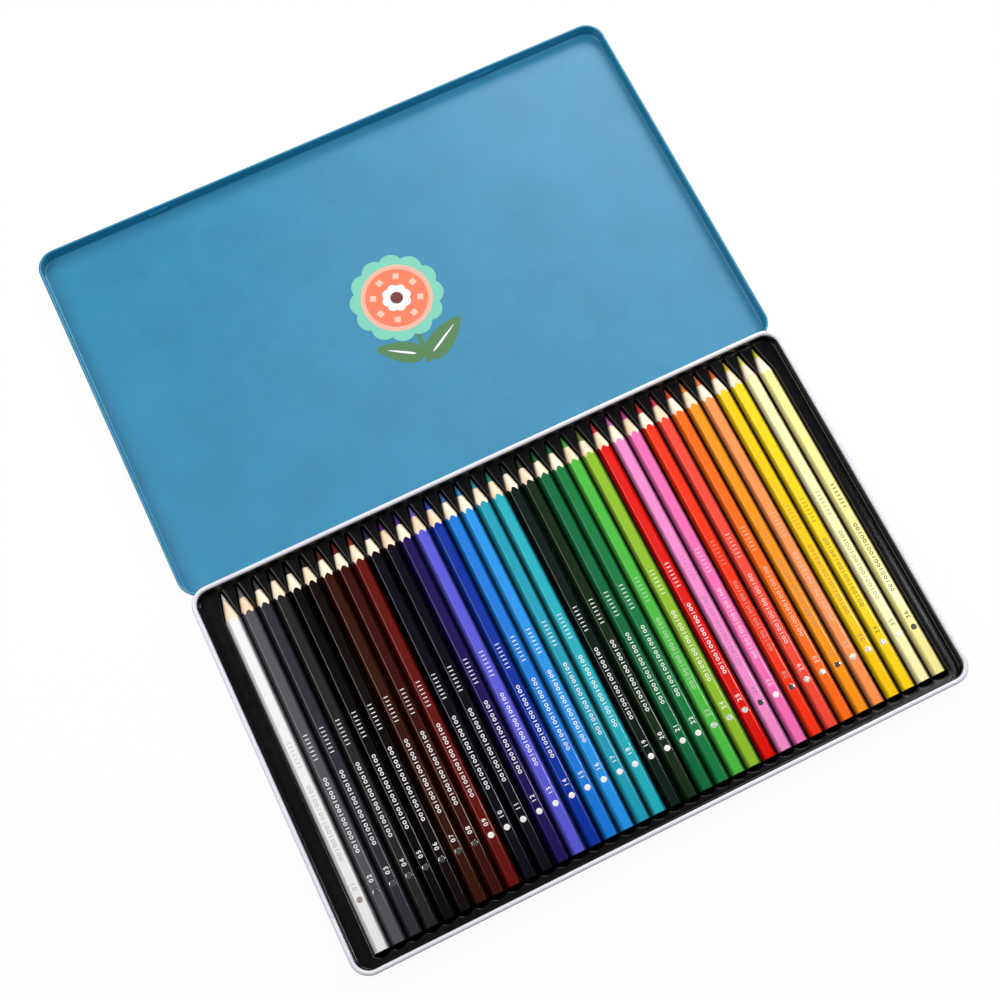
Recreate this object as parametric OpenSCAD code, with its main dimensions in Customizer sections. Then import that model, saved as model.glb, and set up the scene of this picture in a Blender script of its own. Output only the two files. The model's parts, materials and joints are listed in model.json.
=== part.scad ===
// Flat hinged tin that holds one row of colouring pencils, lying open with its lid folded back flat.
// Millimetres. X runs along the row of pencils, +Y from the tray to the lid and +Z up.
// The origin is on the table, under the middle of the open tin.

/* [Pencils] */
// Number of pencils in the row
pencil_count = 36; // [32:1:48]
// Length of a new, sharpened pencil
pencil_len = 175; // [120:1:200]
// Width of the hexagonal casing across its flats
casing_flats = 7; // [6:0.1:9]
// How far each sharp edge of the casing is rounded back
edge_round = 0.24; // [0.05:0.01:0.4]
// Length of the sharpened cone, from the casing's edges to the point
sharp_len = 14.6; // [10:0.1:20]
// Diameter of the lead
lead_d = 3; // [2:0.1:4]
// Gap of the glue line between the lead and the casing's bore
glue_gap = 0.03; // [0.01:0.01:0.1]
// Diameter of the blunt end of the point
point_d = 0.6; // [0.3:0.1:1]
// Gap between neighbouring pencils, edge to edge
pencil_gap = 0.22; // [0.1:0.01:0.5]

/* [Insert] */
// Thickness of the formed plastic sheet
insert_t = 0.4; // [0.3:0.05:0.8]
// Room between a pencil's edges and its groove
groove_room = 0.3; // [0.25:0.05:0.8]
// How far the straight walls above the grooves stand in from the grooves' full width
wall_tuck = 0.05; // [0.02:0.01:0.1]
// Height of the flat land above the pencils' axes
land_rise = 3.1; // [1.5:0.1:4]
// Width of the flat land beside the row
side_land = 5.85; // [4:0.05:20]
// How far the row sits to the right of the tray's middle
row_shift = 0.9; // [0:0.1:2]
// Width of the flat land beyond the pencils' flat ends
butt_land = 1.75; // [0.5:0.05:12]
// Width of the flat land beyond the pencils' points
point_land = 0.15; // [0.1:0.05:12]
// How far each recess runs on past a flat end
butt_room = 2.3; // [2:0.1:3]
// Depth of the round end of each recess, between its two cusps
scallop_depth = 1.8; // [1:0.1:2]
// Half width of a recess at the pencil's point
point_half_w = 1; // [0.6:0.1:1.5]
// How far each recess runs on past the point
point_room = 0.4; // [0.2:0.05:0.45]
// Radius where the land turns up into the insert's wall
land_foot_r = 0.8; // [0.4:0.1:0.9]
// Gap between the insert and the tray's wall
insert_fit = 0.15; // [0.05:0.05:0.3]
// Distance from the top of the tray's bead down to the insert's edge
insert_drop = 0.9; // [0.5:0.1:3]
// Gap between the lowest part of the insert and the tray's floor
floor_gap = 0.1; // [0.05:0.05:0.3]

/* [Tray] */
// Thickness of the tinplate of tray and lid
sheet_t = 0.3; // [0.2:0.05:0.5]
// Height of the tray, over its bead
tray_h = 13.5; // [12.5:0.1:20]
// Diameter of the bead that is rolled outward round the rim
bead_d = 2.2; // [1.6:0.1:3]
// Gap left in the bead, between its rolled end and the wall
bead_gap = 0.5; // [0.3:0.1:0.8]
// Radius of the rim's inner corners, seen from above
corner_r = 6.8; // [5:0.1:14]
// Radius of the pressed edge between floor and wall
tray_foot_r = 1.6; // [1:0.1:3]

/* [Lid] */
// How far the curled edge of the lid stands past the middle of the shut tin's height
lid_overlap = 0.2; // [0:0.1:0.8]
// Diameter of the lid's curled edge
curl_d = 1.2; // [0.9:0.1:1.4]
// Gap left in the curled edge, between its rolled end and the wall
curl_gap = 0.25; // [0.15:0.05:0.35]
// Gap all round between the shut lid and the bead
lid_fit = 0.3; // [0.2:0.05:0.5]
// Gap between the shut lid's panel and the top of the bead
lid_top_gap = 0.2; // [0.1:0.05:0.5]
// How much tighter the lid's corners are than the bead's
corner_tighter = 0.9; // [0:0.1:1.2]
// Radius of the pressed edge between the lid's panel and wall
lid_foot_r = 1.3; // [0.6:0.1:1.3]
// Distance of each catch from the middle of the lid's front wall
catch_x = 88; // [20:1:100]
// Length of a stamped catch
catch_len = 11.5; // [6:0.5:20]
// Radius of a catch's round back
catch_r = 1.6; // [1.2:0.1:1.8]
// How far a catch stands in from the wall
catch_depth = 0.7; // [0.4:0.1:0.8]
// Height between the bead and the middle of a catch, with the lid shut
catch_drop = 0.75; // [0.6:0.05:1.5]

/* [Hinge] */
// Distance of each hinge from the middle
hinge_x = 85; // [20:1:100]
// Length of the tray's knuckle, the middle one of three
tray_knuckle_len = 12; // [6:0.5:30]
// Length of each of the lid's two knuckles
lid_knuckle_len = 6; // [3:0.5:20]
// Gap between two knuckles
knuckle_gap = 0.3; // [0.2:0.05:0.6]
// Diameter of the hinge wire
pin_d = 1; // [0.8:0.1:1.2]
// Gap between the wire and the knuckles' bores
pin_fit = 0.05; // [0.03:0.01:0.1]
// How far the hinge's axis lies outside the bead
hinge_out = 0.1; // [0:0.05:0.4]
// Gap between the tray's knuckle and the lid's notched wall
notch_gap = 0.4; // [0.3:0.05:0.8]

/* [Hidden] */
$fn = 48;
// Overrun of a cutting shape, so that no two faces lie in one plane
over = 1;

function pencil_name(i) = str("pencil_", i < 10 ? "0" : "", i);

// Lacquer of each pencil, left to right: whites and greys, browns, blues, greens, reds, yellows
lacquer = [
    "#f2f1ee", "#4a4c52", "#2e3038", "#2a2b28", "#15151a", "#1e1010",
    "#3a1c0c", "#451210", "#6e1a10", "#10101c", "#1a1020", "#2a1a60",
    "#6058d0", "#1038a8", "#2878d8", "#2888f0", "#28a0b0", "#28b0b0",
    "#142420", "#1c2818", "#1e7848", "#208048", "#40b840", "#80b830",
    "#e82010", "#f878d0", "#f868b8", "#f83818", "#f84840", "#ff6018",
    "#ff8820", "#ff8858", "#ffc510", "#ffd820", "#fff8b0", "#fbf48a"
];
tin_white = "#e9e8ee";
tin_teal = "#3f93b5";
insert_black = "#1a1a1a";
wire_steel = "#b8bcc0";

// Pencils: the casing's edge radius, the row's pitch and the places along X
casing_r = casing_flats / 2 / cos(30) - edge_round;
pitch = 2 * casing_r + pencil_gap;
function pencil_x(i) = row_shift + (i - (pencil_count + 1) / 2) * pitch;
row_half_w = (pencil_count * pitch - pencil_gap) / 2;

// Tray: its opening follows the row, and Y is counted from the front of the opening
insert_edge = insert_fit + insert_t + land_foot_r;
opening_w = 2 * (row_half_w + groove_room + side_land + insert_edge);
butt_y = insert_edge + butt_land + butt_room;
point_y = butt_y + pencil_len;
shoulder_y = point_y - sharp_len;
opening_d = point_y + point_room + point_land + insert_edge;

// Heights inside the tray
groove_r = casing_r + groove_room;
axis_z = sheet_t + floor_gap + insert_t + groove_r;
land_z = axis_z + land_rise;
insert_top = tray_h - insert_drop;

// Lid and hinge. The lid turns half a turn about the axis, so what is at (y, z) when it is
// open comes to (2 * hinge_y - y, 2 * hinge_z - z) when it is shut.
hinge_y = opening_d + bead_d + hinge_out;
hinge_z = (tray_h + lid_top_gap + sheet_t) / 2;
lid_h = hinge_z + lid_overlap;
lid_w = opening_w + 2 * (bead_d + lid_fit);
lid_d = opening_d + 2 * (bead_d + lid_fit);
lid_corner_r = corner_r + bead_d + lid_fit - corner_tighter;
lid_near_y = 2 * hinge_y - (opening_d + bead_d + lid_fit);
lid_far_y = lid_near_y + lid_d;
catch_z = 2 * hinge_z - (tray_h - bead_d - catch_drop);
knuckle_r = pin_d / 2 + pin_fit + sheet_t;
hinge_half_len = tray_knuckle_len / 2 + knuckle_gap + lid_knuckle_len;

// The whole tin is moved so that the open tin lies about the origin
middle_y = (lid_far_y + curl_d - bead_d) / 2;
module placed() {
    translate([0, -middle_y, 0]) children();
}

// ---- Pressed sheet ----

// Runs a profile once round a rectangle with round corners that stands on the Y axis. The
// profile's x is the distance outside the rectangle, and its y is the height.
module around(w, d, r) {
    for (side = [0:3]) {
        run = side % 2 == 0 ? w : d;
        off = side % 2 == 0 ? d / 2 : w / 2;
        translate([0, d / 2, 0])
            rotate(side * 90) {
                translate([0, -off, 0])
                    rotate([90, 0, -90])
                        linear_extrude(run - 2 * r, center = true)
                            children();
                translate([run / 2 - r, r - off, 0])
                    rotate(-90)
                        rotate_extrude(angle = 90)
                            translate([r, 0])
                                children();
            }
    }
}

// A flat sheet with round corners, grown by out on every side of the same rectangle
module sheet(w, d, r, out, t) {
    translate([0, d / 2, 0])
        linear_extrude(t) {
            square([w + 2 * out, d - 2 * r], center = true);
            square([w - 2 * r, d + 2 * out], center = true);
            for (x = [-1, 1], y = [-1, 1])
                translate([x * (w / 2 - r), y * (d / 2 - r)])
                    circle(r + out);
        }
}

// The quarter of a bent sheet that turns from a floor into a wall: r is its outer radius
module bend(r, t) {
    translate([-r, r])
        intersection() {
            difference() {
                circle(r);
                circle(r - t);
            }
            translate([0, -r])
                square(r);
        }
}

// A sheet rolled outward into an open ring of outside diameter d, whose inner side lies on x = 0
module roll(d, t, gap) {
    translate([d / 2, 0])
        difference() {
            circle(d / 2);
            circle(d / 2 - t);
            translate([-d / 2, -d / 2])
                square([t + gap, d / 2]);
        }
}

// ---- Tray ----

// Wall profile: the pressed foot, the wall and the bead, with the wall's inner face on x = 0
module tray_profile() {
    translate([sheet_t, 0])
        bend(tray_foot_r, sheet_t);
    translate([0, tray_foot_r])
        square([sheet_t, tray_h - bead_d / 2 - tray_foot_r]);
    translate([0, tray_h - bead_d / 2])
        roll(bead_d, sheet_t, bead_gap);
}

// The tray's knuckle stands on a tab folded out of the back wall
module tray_knuckle() {
    tab_y = opening_d + sheet_t / 2;
    translate([-tray_knuckle_len / 2, tab_y, hinge_z - sheet_t / 2])
        cube([tray_knuckle_len, hinge_y - tab_y, sheet_t]);
    translate([0, hinge_y, hinge_z])
        rotate([0, 90, 0])
            cylinder(r = knuckle_r, h = tray_knuckle_len, center = true);
}

module hinge_bore() {
    translate([0, hinge_y, hinge_z])
        rotate([0, 90, 0])
            cylinder(r = pin_d / 2 + pin_fit, h = 2 * (hinge_half_len + over), center = true);
}

module tray() {
    color(tin_white)
        placed()
            difference() {
                union() {
                    sheet(opening_w, opening_d, corner_r, sheet_t - tray_foot_r, sheet_t);
                    around(opening_w, opening_d, corner_r) tray_profile();
                    for (side = [-1, 1])
                        translate([side * hinge_x, 0, 0]) tray_knuckle();
                }
                for (side = [-1, 1])
                    translate([side * hinge_x, 0, 0]) hinge_bore();
            }
}

// ---- Insert ----

// The rest of the wall and its foot, seen in section, with the wall's outer face on x = 0
module insert_profile() {
    foot = land_foot_r + insert_t;
    translate([0, land_z - insert_t])
        bend(foot, insert_t);
    translate([-insert_t, land_z + land_foot_r])
        square([insert_t, insert_top - land_z - land_foot_r]);
}

// Outline of the recesses from above, grown by out: one field for the casings, a round end
// beyond each flat end, and a notch that narrows to each point. Between two notches the land
// is left standing as a finger.
module recess_outline(out) {
    scallop_r = ((pitch / 2) ^ 2 + scallop_depth ^ 2) / (2 * scallop_depth);
    end_y = butt_y - butt_room;
    scallop_y = end_y + scallop_r;
    half_w = groove_r - wall_tuck + out;
    point_w = point_half_w - wall_tuck + out;
    field_w = (pencil_count - 1) * pitch + 2 * half_w;
    intersection() {
        translate([row_shift - field_w / 2, end_y - out])
            square([field_w, shoulder_y - end_y + out]);
        union() {
            translate([row_shift - field_w / 2, scallop_y])
                square([field_w, shoulder_y - scallop_y]);
            for (i = [1:pencil_count])
                translate([pencil_x(i), scallop_y])
                    circle(scallop_r + out);
        }
    }
    for (i = [1:pencil_count])
        translate([pencil_x(i), 0])
            polygon([
                [-half_w, shoulder_y - over],
                [-half_w, shoulder_y],
                [-point_w, point_y + point_room + out],
                [point_w, point_y + point_room + out],
                [half_w, shoulder_y],
                [half_w, shoulder_y - over]
            ]);
}

// The space of all the recesses up to a height, grown by out: round grooves and round cones
// up to the pencils' axes, and straight walls above them
module recesses(out, top) {
    cone_len = point_y + point_room + out - shoulder_y;
    intersection() {
        union() {
            translate([-opening_w / 2, 0, axis_z])
                cube([opening_w, opening_d, top - axis_z]);
            for (i = [1:pencil_count])
                translate([pencil_x(i), shoulder_y, axis_z]) {
                    rotate([90, 0, 0])
                        cylinder(r = groove_r + out, h = shoulder_y);
                    rotate([-90, 0, 0])
                        cylinder(r1 = groove_r + out, r2 = point_half_w + out, h = cone_len);
                }
        }
        linear_extrude(top)
            recess_outline(out);
    }
}

module insert() {
    w = opening_w - 2 * insert_fit;
    d = opening_d - 2 * insert_fit;
    r = corner_r - insert_fit;
    color(insert_black)
        placed()
            difference() {
                union() {
                    translate([0, insert_fit, 0]) {
                        around(w, d, r) insert_profile();
                        translate([0, 0, land_z - insert_t])
                            sheet(w, d, r, -land_foot_r - insert_t, insert_t);
                    }
                    recesses(insert_t, land_z);
                }
                recesses(0, tray_h);
            }
}

// ---- Lid, lying open ----

// Wall profile of the open lid: its inner face is on x = 0 and its panel lies on the table
module lid_profile() {
    translate([sheet_t, 0])
        bend(lid_foot_r, sheet_t);
    translate([0, lid_foot_r])
        square([sheet_t, lid_h - curl_d / 2 - lid_foot_r]);
    translate([0, lid_h - curl_d / 2])
        roll(curl_d, sheet_t, curl_gap);
}

// A capsule along X, centred on the far wall's inner face less the depth that stands in
module catch_capsule(r) {
    half = catch_len / 2 - catch_r;
    translate([0, lid_far_y + catch_r - catch_depth, catch_z]) {
        rotate([0, 90, 0])
            cylinder(r = r, h = 2 * half, center = true);
        for (side = [-1, 1])
            translate([side * half, 0, 0])
                sphere(r);
    }
}

// The part of a catch that stands in from the wall
module catch_boss() {
    intersection() {
        catch_capsule(catch_r);
        translate([-catch_len / 2, lid_far_y - 2 * catch_r, 0])
            cube([catch_len, 2 * catch_r + sheet_t, lid_h]);
    }
}

// One hinge's opening in the near wall: the curled edge ends on both sides of the hinge, and
// the wall is notched round the tray's knuckle
module hinge_notch() {
    curl_half = hinge_half_len + knuckle_gap;
    notch_half = tray_knuckle_len / 2 + knuckle_gap;
    notch_z = hinge_z - knuckle_r - notch_gap;
    translate([-curl_half, lid_near_y - curl_d - over, lid_h - curl_d - over])
        cube([2 * curl_half, curl_d + over - sheet_t, curl_d + 2 * over]);
    translate([-curl_half, lid_near_y - sheet_t - over, lid_h - curl_d / 2])
        cube([2 * curl_half, sheet_t + 2 * over, curl_d]);
    translate([-notch_half, lid_near_y - sheet_t - over, notch_z])
        cube([2 * notch_half, sheet_t + 2 * over, lid_h]);
}

module lid_knuckles() {
    for (end = [-1, 1])
        translate([end * (hinge_half_len - lid_knuckle_len / 2), hinge_y, hinge_z])
            rotate([0, 90, 0])
                cylinder(r = knuckle_r, h = lid_knuckle_len, center = true);
}

module lid() {
    color(tin_teal)
        placed()
            difference() {
                union() {
                    difference() {
                        translate([0, lid_near_y, 0]) {
                            sheet(lid_w, lid_d, lid_corner_r, sheet_t - lid_foot_r, sheet_t);
                            around(lid_w, lid_d, lid_corner_r) lid_profile();
                        }
                        for (side = [-1, 1])
                            translate([side * hinge_x, 0, 0]) hinge_notch();
                    }
                    for (side = [-1, 1]) {
                        translate([side * hinge_x, 0, 0]) lid_knuckles();
                        translate([side * catch_x, 0, 0]) catch_boss();
                    }
                }
                for (side = [-1, 1]) {
                    translate([side * hinge_x, 0, 0]) hinge_bore();
                    translate([side * catch_x, 0, 0]) catch_capsule(catch_r - sheet_t);
                }
            }
}

// ---- Hinge wires ----

module hinge_pin(side) {
    color(wire_steel)
        placed()
            translate([side * hinge_x, hinge_y, hinge_z])
                rotate([0, 90, 0])
                    cylinder(d = pin_d, h = 2 * hinge_half_len, center = true);
}

// ---- Pencils ----

// A turned blank: straight to the shoulder, then a cone to the blunt point
module turned(r, sharpened_r) {
    slope = (casing_r - point_d / 2) / sharp_len;
    start = pencil_len - (sharpened_r - point_d / 2) / slope;
    rotate_extrude()
        polygon([[0, 0], [r, 0], [r, start], [point_d / 2, pencil_len], [0, pencil_len]]);
}

// The casing is a hexagonal rod with a bore. The cone that sharpens it runs out on the six
// flats, so the lacquer ends in six scallops.
module casing() {
    difference() {
        intersection() {
            turned(casing_r, casing_r);
            linear_extrude(pencil_len)
                circle(r = casing_flats / 2 / cos(30), $fn = 6);
        }
        translate([0, 0, -over])
            cylinder(d = lead_d + 2 * glue_gap, h = pencil_len + 2 * over);
    }
}

module pencil(i) {
    colour = lacquer[(i - 1) % len(lacquer)];
    color(colour)
        placed()
            translate([pencil_x(i), butt_y, axis_z])
                rotate([-90, 0, 0]) {
                    casing();
                    turned(lead_d / 2, lead_d / 2);
                }
}

tray();
insert();
lid();
hinge_pin(-1);  // hinge_pin_left
hinge_pin(1);  // hinge_pin_right
for (i = [1:pencil_count])
    pencil(i);
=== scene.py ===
import json
import math
import random

import bpy
import bmesh
import numpy as np
from mathutils import Matrix, Vector


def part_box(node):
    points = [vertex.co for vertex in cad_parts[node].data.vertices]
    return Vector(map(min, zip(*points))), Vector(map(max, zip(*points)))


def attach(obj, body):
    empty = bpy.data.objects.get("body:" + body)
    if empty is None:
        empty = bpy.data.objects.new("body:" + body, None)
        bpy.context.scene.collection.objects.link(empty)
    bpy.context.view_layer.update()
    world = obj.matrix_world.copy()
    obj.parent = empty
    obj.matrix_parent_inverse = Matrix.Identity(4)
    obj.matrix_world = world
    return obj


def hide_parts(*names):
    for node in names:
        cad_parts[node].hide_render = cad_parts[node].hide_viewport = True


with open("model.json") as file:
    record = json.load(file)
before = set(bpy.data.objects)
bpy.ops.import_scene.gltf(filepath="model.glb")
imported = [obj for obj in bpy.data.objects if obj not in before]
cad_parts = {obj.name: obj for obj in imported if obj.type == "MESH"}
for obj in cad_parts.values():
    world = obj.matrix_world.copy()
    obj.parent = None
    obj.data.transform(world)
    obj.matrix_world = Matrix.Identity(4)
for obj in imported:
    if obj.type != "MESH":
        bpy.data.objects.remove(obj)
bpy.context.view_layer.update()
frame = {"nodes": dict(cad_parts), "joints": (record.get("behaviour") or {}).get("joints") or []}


# ---- Tray ----
# The lower half of the tin: one blank of tinplate, 0.3 mm thick, drawn into a shallow tray, lacquered
# white on both sides and rolled outward round the rim into a hollow bead. Two short tabs are folded
# out of its back wall and rolled into the middle knuckles of the hinges.

MM = 0.001

tin_t = 0.3 * MM
bead_d = 2.2 * MM
bead_end = -108
tray_foot_r = 1.6 * MM
tray_corner_r = 6.8 * MM
hinge_out = 0.1 * MM
tray_knuckle_len = 12 * MM
hinge_x = 85 * MM
knuckle_r = 0.85 * MM
tab_reach = 0.8 * MM
tab_drop = 0.1 * MM

hinge = next(joint for joint in frame["joints"] if joint["name"] == "lid_hinge")
hinge_y, hinge_z = hinge["pos_m"][1:]
tray_low, tray_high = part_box("tray")
opening_w = tray_high.x - tray_low.x - 2 * bead_d
tray_front = tray_low.y + bead_d
tray_back = hinge_y - hinge_out - bead_d


def arc(x, y, r, start, end, steps):
    """Points on a round bend about (x, y), from one angle to another, in degrees."""
    angles = [math.radians(start + (end - start) * k / steps) for k in range(steps + 1)]
    return [(x + r * math.cos(a), y + r * math.sin(a)) for a in angles]


def rim(w, d, r, near, near_stops=(), far_stops=()):
    """Points round an upright wall with round corners, each with the direction that faces outward."""
    steps = 12
    x, y, points = w / 2 - r, near + r, []
    points += [(s, near, 0, -1) for s in sorted(near_stops)]
    for corner in range(4):
        cx = x if corner in (0, 1) else -x
        cy = y if corner in (0, 3) else near + d - r
        for k in range(steps + 1):
            a = math.radians(90 * (corner - 1) + 90 * k / steps)
            points.append((cx + r * math.cos(a), cy + r * math.sin(a), math.cos(a), math.sin(a)))
        if corner == 1:
            points += [(s, near + d, 0, 1) for s in sorted(far_stops, reverse=True)]
    return points


def drawn_sheet(path, section, cut=None, push=None):
    """The inner face of a drawn tin: a floor, and a section that runs up and out all round it.
    The section's points are (distance outward, height). cut leaves out a stretch of the wall and
    push moves its points."""
    mesh = bmesh.new()
    rings = []
    for out, height in section:
        ring = []
        for x, y, nx, ny in path:
            point = Vector((x + nx * out, y + ny * out, height))
            ring.append(mesh.verts.new(push(point, ny) if push else point))
        rings.append(ring)
    mesh.faces.new(rings[0])
    for row in range(len(section) - 1):
        for k in range(len(path)):
            n = (k + 1) % len(path)
            if cut and cut(path[k], path[n], section[row + 1][1], row):
                continue
            mesh.faces.new((rings[row][k], rings[row + 1][k], rings[row + 1][n], rings[row][n]))
    return mesh


def set_down(name, data):
    """Puts a mesh, a lamp or a camera into the scene."""
    made = bpy.data.objects.new(name, data)
    bpy.context.collection.objects.link(made)
    return made


def thickened(mesh, thickness):
    """The sheet with its thickness added on the side away from the tin's inside."""
    data = bpy.data.meshes.new("sheet")
    mesh.to_mesh(data)
    mesh.free()
    sheet = set_down("sheet", data)
    solid = sheet.modifiers.new("thickness", "SOLIDIFY")
    solid.thickness = thickness
    solid.offset = -1
    solid.use_even_offset = True
    solid.use_quality_normals = True
    result = bmesh.new()
    result.from_mesh(sheet.evaluated_get(bpy.context.evaluated_depsgraph_get()).to_mesh())
    bpy.data.objects.remove(sheet)
    return result


def add_rolled_strip(mesh, line, thickness, x0, x1):
    """A strip of sheet between two places along X, bent along a line of (y, z) points."""
    columns = []
    for k, (y, z) in enumerate(line):
        before, after = line[max(k - 1, 0)], line[min(k + 1, len(line) - 1)]
        run = Vector((after[0] - before[0], after[1] - before[1])).normalized() * (thickness / 2)
        sides = ((y - run.y, z + run.x), (y + run.y, z - run.x))
        columns.append([[mesh.verts.new((x, *side)) for side in sides] for x in (x0, x1)])
    made = []
    for a, b in zip(columns, columns[1:]):
        made.append(mesh.faces.new((a[0][0], b[0][0], b[1][0], a[1][0])))
        made.append(mesh.faces.new((a[0][1], a[1][1], b[1][1], b[0][1])))
        for end in (0, 1):
            made.append(mesh.faces.new((a[end][0], a[end][1], b[end][1], b[end][0])))
    for column in (columns[0], columns[-1]):
        made.append(mesh.faces.new((column[0][0], column[0][1], column[1][1], column[1][0])))
    bmesh.ops.recalc_face_normals(mesh, faces=made)


def smooth(data, sharp):
    """Shades a mesh smooth, but for the edges that are sharper than the given angle."""
    data.shade_smooth()
    data.set_sharp_from_angle(angle=math.radians(sharp))


def shape(name, mesh, finish, sharp=35):
    """Makes the piece, with its finish."""
    data = bpy.data.meshes.new(name)
    mesh.to_mesh(data)
    mesh.free()
    smooth(data, sharp)
    data.materials.append(finish)
    return set_down(name, data)


def linear(colour):
    """A hex colour such as "#e9e8ee" as the linear values that a shader takes."""
    values = [int(colour[k:k + 2], 16) / 255 for k in (1, 3, 5)]
    return [v / 12.92 if v <= 0.04045 else ((v + 0.055) / 1.055) ** 2.4 for v in values] + [1]


class Finish:
    """A surface finish: one shader, and the grain, tints and relief that are worked into it."""

    def __init__(self, name, colour, **settings):
        self.material = bpy.data.materials.new(name)
        self.material.use_nodes = True
        self.tree = self.material.node_tree
        self.shader = self.tree.nodes["Principled BSDF"]
        self.shader.inputs["Base Color"].default_value = linear(colour)
        for setting, value in settings.items():
            self.shader.inputs[setting].default_value = value
        self.place = self.tree.nodes.new("ShaderNodeTexCoord").outputs["Object"]
        self.height = None

    def node(self, kind, **values):
        made = self.tree.nodes.new(kind)
        for name, value in values.items():
            setattr(made, name, value)
        return made

    def noise(self, size, stretch=(1, 1, 1), detail=3):
        """Soft mottling whose grains are about size across, longer where stretch is more than 1."""
        place = self.node("ShaderNodeMapping")
        place.inputs["Scale"].default_value = [1 / s for s in stretch]
        self.tree.links.new(self.place, place.inputs["Vector"])
        noise = self.node("ShaderNodeTexNoise")
        noise.inputs["Scale"].default_value = 1 / size
        noise.inputs["Detail"].default_value = detail
        self.tree.links.new(place.outputs[0], noise.inputs["Vector"])
        return noise.outputs[0]

    def between(self, factor, low, high, start=0.3, end=0.7):
        """A value that goes from low to high with the mottling."""
        spread = self.node("ShaderNodeMapRange")
        for name, value in zip(("From Min", "From Max", "To Min", "To Max"), (start, end, low, high)):
            spread.inputs[name].default_value = value
        self.tree.links.new(factor, spread.inputs["Value"])
        return spread.outputs[0]

    def tint(self, factor, low, high, start=0.3, end=0.7):
        """Colours the surface from low to high with the mottling."""
        mix = self.node("ShaderNodeMix", data_type="RGBA")
        mix.inputs[6].default_value = linear(low)
        mix.inputs[7].default_value = linear(high)
        self.tree.links.new(self.between(factor, 0, 1, start, end), mix.inputs[0])
        self.tree.links.new(mix.outputs[2], self.shader.inputs["Base Color"])

    def polish(self, factor, low, high):
        """Makes the roughness go from low to high with the mottling."""
        self.tree.links.new(self.between(factor, low, high), self.shader.inputs["Roughness"])

    def relief(self, factor, depth):
        """Works the mottling into the surface to a depth in metres."""
        bump = self.node("ShaderNodeBump")
        bump.inputs["Distance"].default_value = depth
        bump.inputs["Strength"].default_value = 1
        self.tree.links.new(factor, bump.inputs["Height"])
        if self.height:
            self.tree.links.new(self.height, bump.inputs["Normal"])
        self.height = bump.outputs[0]
        self.tree.links.new(self.height, self.shader.inputs["Normal"])


tray_section = arc(tin_t - tray_foot_r, tray_foot_r, tray_foot_r - tin_t, -90, 0, 6)
tray_section += arc(bead_d / 2, tray_high.z - bead_d / 2, bead_d / 2, 180, bead_end, 28)
tray_mesh = thickened(
    drawn_sheet(rim(opening_w, tray_back - tray_front, tray_corner_r, tray_front), tray_section),
    tin_t,
)
eye_r = knuckle_r - tin_t / 2
tab = [(tray_back + tin_t / 2, hinge_z), (tray_back + tab_reach, hinge_z - tab_drop)]
tab += arc(hinge_y, hinge_z, eye_r, -125, 210, 24)
for side in (-1, 1):
    middle = side * hinge_x
    add_rolled_strip(tray_mesh, tab, tin_t, middle - tray_knuckle_len / 2, middle + tray_knuckle_len / 2)

white_lacquer = Finish("white_lacquered_tin", "#e9e8ee", Roughness=0.3)
white_lacquer.tint(white_lacquer.noise(20 * MM, detail=5), "#dddce6", "#e3e2eb")
white_lacquer.polish(white_lacquer.noise(3 * MM), 0.24, 0.36)
white_lacquer.relief(white_lacquer.noise(1.6 * MM, detail=2), 0.001 * MM)

tray = shape("tray_finished", tray_mesh, white_lacquer.material)
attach(tray, "base")
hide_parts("tray")


# ---- Insert ----
# The bed for the pencils: one black plastic sheet, 0.4 mm thick, drawn by vacuum over a mould. It has
# one round groove per pencil, round ends beyond the flat ends, tapering notches with fingers between
# them at the points, and a wall all round that springs against the tray.

insert_t = 0.4 * MM
insert_fit = 0.15 * MM
land_rise = 3.1 * MM
land_foot_r = 0.8 * MM
butt_room = 2.3 * MM
scallop_depth = 1.8 * MM
cusp_round = 0.9 * MM
wall_tuck = 0.05 * MM
point_half_w = 1.0 * MM
point_room = 0.4 * MM
sharp_len = 14.6 * MM
lip_r = 0.45 * MM
notch_lip = 0.15 * MM
groove_fillet = 0.35 * MM
least_lip = 0.05 * MM
notch_stop = 0.02 * MM
wall_edge_r = 0.1 * MM
weld = 0.001 * MM

pencil_names = sorted(name for name in frame["nodes"] if name.startswith("pencil_"))
pencil_boxes = [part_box(name) for name in pencil_names]
pencil_x = [(low.x + high.x) / 2 for low, high in pencil_boxes]
pitch = (pencil_x[-1] - pencil_x[0]) / (len(pencil_x) - 1)
first_low, first_high = pencil_boxes[0]
casing_r = (first_high.x - first_low.x) / 2
axis_z = (first_high.z + first_low.z) / 2
butt_y, point_y = first_low.y, first_high.y

insert_low, insert_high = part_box("insert")
groove_r = axis_z - insert_low.z - insert_t
land_z = axis_z + land_rise
land_inset = insert_fit + insert_t + land_foot_r
land_front, land_back = tray_front + land_inset, tray_back - land_inset
land_side = opening_w / 2 - land_inset
land_corner_r = tray_corner_r - land_inset
recess_end = butt_y - butt_room
shoulder_y = point_y - sharp_len
notch_end = point_y + point_room
scallop_r = ((pitch / 2) ** 2 + scallop_depth ** 2) / (2 * scallop_depth)
scallop_y = recess_end + scallop_r

# Rows that run round the land's corners, and points across half a groove, over its lip and on the land
FRONT_ARC, BACK_ARC = 9, 10
ACROSS, LIP, LAND = 7, 4, 2


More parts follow.
